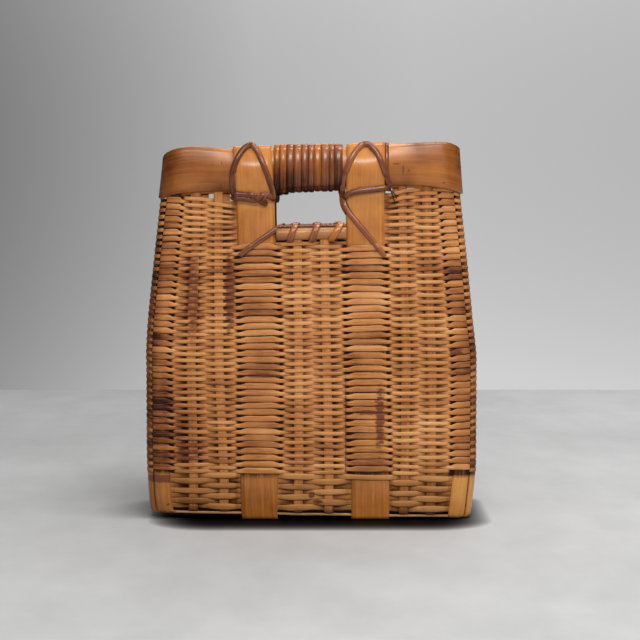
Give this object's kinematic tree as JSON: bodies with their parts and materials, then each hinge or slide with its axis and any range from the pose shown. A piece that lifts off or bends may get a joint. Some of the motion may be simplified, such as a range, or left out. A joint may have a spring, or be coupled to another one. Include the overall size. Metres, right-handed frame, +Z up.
{
  "type": "bamboo hand basket",
  "caption": "Open-topped woven bamboo basket with a broad rim, bound grips over hand holes on both wide faces, and runners under its base.",
  "frame": {"origin": "on the floor under the middle of the basket", "axes": "+Z up, -Y out of the front wide face, +X to the right seen from the front"},
  "size_m": [0.389, 0.2116, 0.4388],
  "materials": {
    "rim": "aged bamboo, polished by use",
    "slat": "aged split bamboo, satin",
    "weave": "split bamboo strips, satin",
    "rattan": "dark rattan, satin"
  },
  "bodies": {
    "root": {"rim_outer_band": "rim", "rim_inner_band": "rim", "front_grip_binding": "rattan", "back_grip_binding": "rattan", "left_runner": "slat", "right_runner": "slat", "front_left_lacing": "rattan", "front_right_lacing": "rattan", "back_left_lacing": "rattan", "back_right_lacing": "rattan", "front_sill": "slat", "back_sill": "slat", "front_sill_filler": "rattan", "back_sill_filler": "rattan", "front_sill_ties": "rattan", "back_sill_ties": "rattan", "front_left_corner_stakes": "slat", "front_right_corner_stakes": "slat", "back_left_corner_stakes": "slat", "back_right_corner_stakes": "slat", "front_stakes": "weave", "back_stakes": "weave", "left_stakes": "weave", "right_stakes": "weave", "front_weave_lining": "weave", "back_weave_lining": "weave", "left_weave_lining": "weave", "right_weave_lining": "weave", "weave_rows_lower": "weave", "weave_rows_middle": "weave", "weave_rows_upper": "weave", "border_rows": "weave", "base_hoop": "weave", "base_mat": "weave", "base_slats": "slat"}
  },
  "joints": []
}
